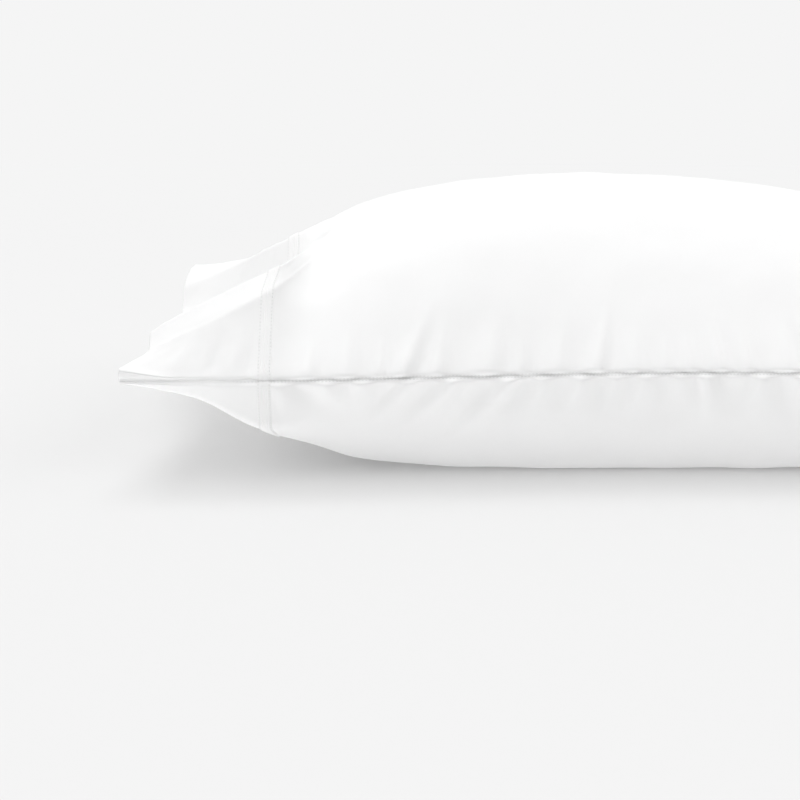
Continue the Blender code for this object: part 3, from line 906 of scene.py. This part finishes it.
def with_nodes(kind, name):
    """A new material or world, and its node tree."""
    made = kind.new(name)
    made.use_nodes = True
    return made, made.node_tree


def grey(value):
    """A plain grey as a colour."""
    return (value, value, value, 1.0)


def give(tree, node, inputs):
    """Links a node's inputs to other nodes' outputs or sets them to values. Gives the node's outputs."""
    for name, value in inputs.items():
        if isinstance(value, bpy.types.NodeSocket):
            tree.links.new(value, node.inputs[name])
        else:
            node.inputs[name].default_value = value
    return node.outputs


def maths(tree, operation, *values):
    """What a Math node makes of values and other nodes' outputs."""
    node = tree.nodes.new("ShaderNodeMath")
    node.operation = operation
    return give(tree, node, dict(enumerate(values)))[0]


def vector_maths(tree, operation, inputs):
    """What a Vector Math node makes of its inputs."""
    node = tree.nodes.new("ShaderNodeVectorMath")
    node.operation = operation
    return give(tree, node, inputs)


def ranged(tree, value, over, low, high, kind="LINEAR"):
    """A change from low to high while a value goes over a span."""
    node = tree.nodes.new("ShaderNodeMapRange")
    node.interpolation_type = kind
    ends = {"From Min": over.start, "From Max": over.end, "To Min": low, "To Max": high}
    return give(tree, node, {"Value": value, **ends})[0]


def noise_on(tree, places, scale, detail):
    """Soft noise at the given places."""
    node = tree.nodes.new("ShaderNodeTexNoise")
    return give(tree, node, {"Vector": places, "Scale": scale, "Detail": detail})["Fac"]


def new_group(name, inputs, outputs):
    """A group with its sockets. Gives it, its input's sockets, its output node and the cloth's run."""
    group = bpy.data.node_groups.new(name, "ShaderNodeTree")
    for sockets, way in ((inputs, "INPUT"), (outputs, "OUTPUT")):
        for socket, kind in sockets.items():
            group.interface.new_socket(name=socket, in_out=way, socket_type=kind)
    run = group.nodes.new("ShaderNodeAttribute")
    run.attribute_name = "cloth_run"
    given = group.nodes.new("NodeGroupInput")
    out = group.nodes.new("NodeGroupOutput")
    return group, given.outputs, out, run.outputs["Vector"]


def group_in(tree, name, inputs):
    """The outputs of a node group placed in a material with its own values."""
    node = tree.nodes.new("ShaderNodeGroup")
    node.node_tree = bpy.data.node_groups[name]
    return give(tree, node, inputs)


NUMBER = "NodeSocketFloat"
COLOUR = "NodeSocketColor"
MIX_FIRST, MIX_SECOND, MIX_RESULT = 6, 7, 2  # the places of a Mix node's colour sockets


def plain_weave_group():
    """Percale's fine plain weave: threads over and under each other, a few of them thicker."""
    inputs = {"Threads to the mm": NUMBER, "Slub": NUMBER}
    group, given, out, run = new_group("plain weave", inputs, {"Height": NUMBER, "Thread shade": NUMBER})
    threads = vector_maths(group, "SCALE", {0: run, "Scale": given["Threads to the mm"]})[0]
    parts = give(group, group.nodes.new("ShaderNodeSeparateXYZ"), {0: threads})
    turns = [maths(group, "MULTIPLY", parts[axis], 2.0 * np.pi) for axis in "XY"]
    crossing = maths(group, "MULTIPLY", *[maths(group, "SINE", turn) for turn in turns])

    def uneven_threads(stretch):
        mapping = group.nodes.new("ShaderNodeMapping")
        return noise_on(group, give(group, mapping, {"Vector": run, "Scale": stretch})[0], 1.0, 2.0)

    stretches = (ALONG_THREADS, ACROSS_THREADS, 1.0), (ACROSS_THREADS, ALONG_THREADS, 1.0)
    uneven = maths(group, "ADD", *[uneven_threads(stretch) for stretch in stretches])
    height = maths(group, "MULTIPLY_ADD", uneven, given["Slub"], crossing)
    give(group, out, {"Height": height, "Thread shade": uneven})


def cotton_tone_group():
    """The slow, faint change of tone that washed and pressed cotton has."""
    inputs = {"Light": COLOUR, "Shaded": COLOUR, "Thread shade": NUMBER}
    outputs = {"Colour": COLOUR, "Roughness": NUMBER}
    group, given, out, run = new_group("pressed cotton tone", inputs, outputs)
    patches = noise_on(group, run, TONE_PATCHES, 3.0)
    tone = maths(group, "MULTIPLY_ADD", given["Thread shade"], THREADS_IN_TONE, patches)
    turned = ranged(group, tone, TONE_TURNS, 0.0, 1.0)
    mixed = group.nodes.new("ShaderNodeMix")
    mixed.data_type = "RGBA"
    mixing = {"Factor": turned, MIX_FIRST: given["Light"], MIX_SECOND: given["Shaded"]}
    colour = give(group, mixed, mixing)[MIX_RESULT]
    rough = ranged(group, patches, Span(0.0, 1.0), *COTTON_ROUGHNESS)
    give(group, out, {"Colour": colour, "Roughness": rough})


def cotton(look):
    """A white cotton: plain weave in relief, a faint change of tone, and a soft sheen."""
    material, tree = with_nodes(bpy.data.materials, look.name)
    weave = group_in(tree, "plain weave", {"Threads to the mm": look.threads, "Slub": look.slub})
    greys = {"Light": grey(look.light), "Shaded": grey(look.shaded)}
    tone = group_in(tree, "pressed cotton tone", {**greys, "Thread shade": weave["Thread shade"]})
    relief = {"Strength": WEAVE_STRENGTH, "Distance": look.depth, "Height": weave["Height"]}
    normal = give(tree, tree.nodes.new("ShaderNodeBump"), relief)["Normal"]
    surface = {
        "Base Color": tone["Colour"],
        "Roughness": tone["Roughness"],
        "Normal": normal,
        "Sheen Weight": look.sheen,
        "Sheen Roughness": SHEEN_ROUGHNESS,
        "Specular IOR Level": COTTON_SPECULAR,
    }
    give(tree, tree.nodes["Principled BSDF"], surface)
    return material


# The camera, in the case's own millimetres.
CAMERA_AT = (231.6, -1536.4, 255.6)
CAMERA_PITCH = 9.9  # degrees down
CAMERA_TURN = 1.3  # degrees to the left
CAMERA_LENS = 100.29
CAMERA_SENSOR = 36.0
CAMERA_SEES = 60.0  # metres far

# The studio. A lamp's share is what it adds to a white surface that faces it, and its softness is its width
# in degrees.
BACKDROP_GREY = 0.913  # of the sweep behind the case
FRONT_GREY = 0.09  # of the dim room behind the camera
ABOVE_GREY = 0.95  # of the lit room above both
TO_THE_BACK = Span(-0.3, 0.3)  # the parts of a direction over which the room changes
TO_ABOVE = Span(0.2, 0.4)
Lamp = namedtuple("Lamp", "name share comes_from softness")
LAMPS = (
    Lamp("overhead_front", 0.12, (0.0, -0.5, 0.87), 45.0),
    Lamp("overhead_back", 0.16, (0.0, 0.22, 0.97), 45.0),
    Lamp("key_left", 0.10, (-0.75, -0.5, 0.43), 22.0),
    Lamp("fill_right", 0.07, (0.7, -0.6, 0.4), 30.0),
    Lamp("from_the_table", 0.18, (0.0, -0.2, -1.0), 30.0),
    Lamp("from_the_table_left", 0.065, (-0.9, -0.3, -0.4), 18.0),
    Lamp("from_under", 0.215, (0.0, 0.3, -1.0), 30.0),
)
FLOOR_GREY = 0.735
FLOOR_RADIUS = 9.0
FLOOR_SIDES = 96
FLOOR_FADES = Span(1.6, 3.2)  # metres out over which the floor turns into the backdrop


def set_camera():
    """The camera at the photograph's angle and framing."""
    data = bpy.data.cameras.new("camera")
    data.lens = CAMERA_LENS
    data.sensor_width = CAMERA_SENSOR
    data.clip_end = CAMERA_SEES
    camera = in_scene("camera", data)
    pitch, turn = np.radians(CAMERA_PITCH), np.radians(CAMERA_TURN)
    forward = Vector((-np.sin(turn) * np.cos(pitch), np.cos(turn) * np.cos(pitch), -np.sin(pitch)))
    camera.location = placed(CAMERA_AT)
    camera.rotation_euler = forward.to_track_quat("-Z", "Y").to_euler()
    bpy.context.scene.camera = camera


def set_room():
    """A room with an even backdrop behind, dim in front and lit above."""
    world, tree = with_nodes(bpy.data.worlds, "room")
    looking = tree.nodes.new("ShaderNodeTexCoord").outputs["Generated"]
    parts = give(tree, tree.nodes.new("ShaderNodeSeparateXYZ"), {0: looking})
    low = ranged(tree, parts["Y"], TO_THE_BACK, FRONT_GREY, BACKDROP_GREY, "SMOOTHSTEP")
    light = ranged(tree, parts["Z"], TO_ABOVE, low, ABOVE_GREY, "SMOOTHSTEP")
    give(tree, tree.nodes["Background"], {"Color": light})
    bpy.context.scene.world = world


def set_lamps():
    """Broad soft lights from above and both sides, and the light that the table throws back up."""
    for lamp in LAMPS:
        data = bpy.data.lights.new(lamp.name, "SUN")
        data.energy = lamp.share * np.pi
        data.angle = np.radians(lamp.softness)
        sun = in_scene(lamp.name, data)
        sun.rotation_euler = Vector(lamp.comes_from).to_track_quat("Z", "Y").to_euler()
    bpy.context.scene.view_settings.view_transform = "Standard"


def floor_material():
    """Pale matt paper that turns into the even backdrop further out."""
    material, tree = with_nodes(bpy.data.materials, "pale_floor")
    matt = {"Base Color": grey(FLOOR_GREY), "Roughness": 1.0, "Specular IOR Level": 0.0}
    paper = give(tree, tree.nodes["Principled BSDF"], matt)[0]
    glow = give(tree, tree.nodes.new("ShaderNodeEmission"), {"Color": grey(BACKDROP_GREY)})[0]
    place = tree.nodes.new("ShaderNodeTexCoord").outputs["Object"]
    out = vector_maths(tree, "LENGTH", {0: place})["Value"]
    fade = ranged(tree, out, FLOOR_FADES, 0.0, 1.0, "SMOOTHSTEP")
    mixed = give(tree, tree.nodes.new("ShaderNodeMixShader"), {"Fac": fade, 1: paper, 2: glow})[0]
    give(tree, tree.nodes["Material Output"], {"Surface": mixed})
    return material


def make_floor():
    """The pale floor that the case lies on, without a shadow of its own."""
    mesh = bmesh.new()
    bmesh.ops.create_circle(mesh, cap_ends=True, segments=FLOOR_SIDES, radius=FLOOR_RADIUS)
    floor = meshed("floor", mesh, floor_material())
    floor.visible_shadow = False


def main():
    """Makes the studio and the pillowcase."""
    set_camera()
    set_room()
    set_lamps()
    make_floor()
    plain_weave_group()
    cotton_tone_group()
    percale, hem_percale, band_cotton, thread = [cotton(look) for look in COTTONS]
    top, top_run = shaped_layer(TOP)
    under, under_run = shaped_layer(UNDER)
    plain = [plain_grid(layer, leans=False) for layer in (TOP, UNDER)]
    # Round the case, the lower layer's run goes on from the far side back to the near seam.
    girth = top_run[:, -1:, 1] + under_run[:, -1:, 1]
    under_run[:, :, 1] = girth - under_run[:, :, 1]
    top_count = top.shape[1]
    rings = round_far_fold(ring_grid(top, under), top_count - 1)
    run = np.concatenate([top_run, under_run[:, -2:0:-1]], axis=1)
    make_body(rings, run, top_count, plain, percale)
    hem = make_hem(rings, run, plain, hem_percale)
    band = make_band(rings, run, band_cotton)
    sewing = stitch_the_band(rings, thread)
    stitch_the_near_seam("seam_stitches_above", top, True, thread, seed=23)
    stitch_the_near_seam("seam_stitches_below", under, False, thread, seed=25)
    stitch_the_closed_end(rings, top_count, thread)


main()
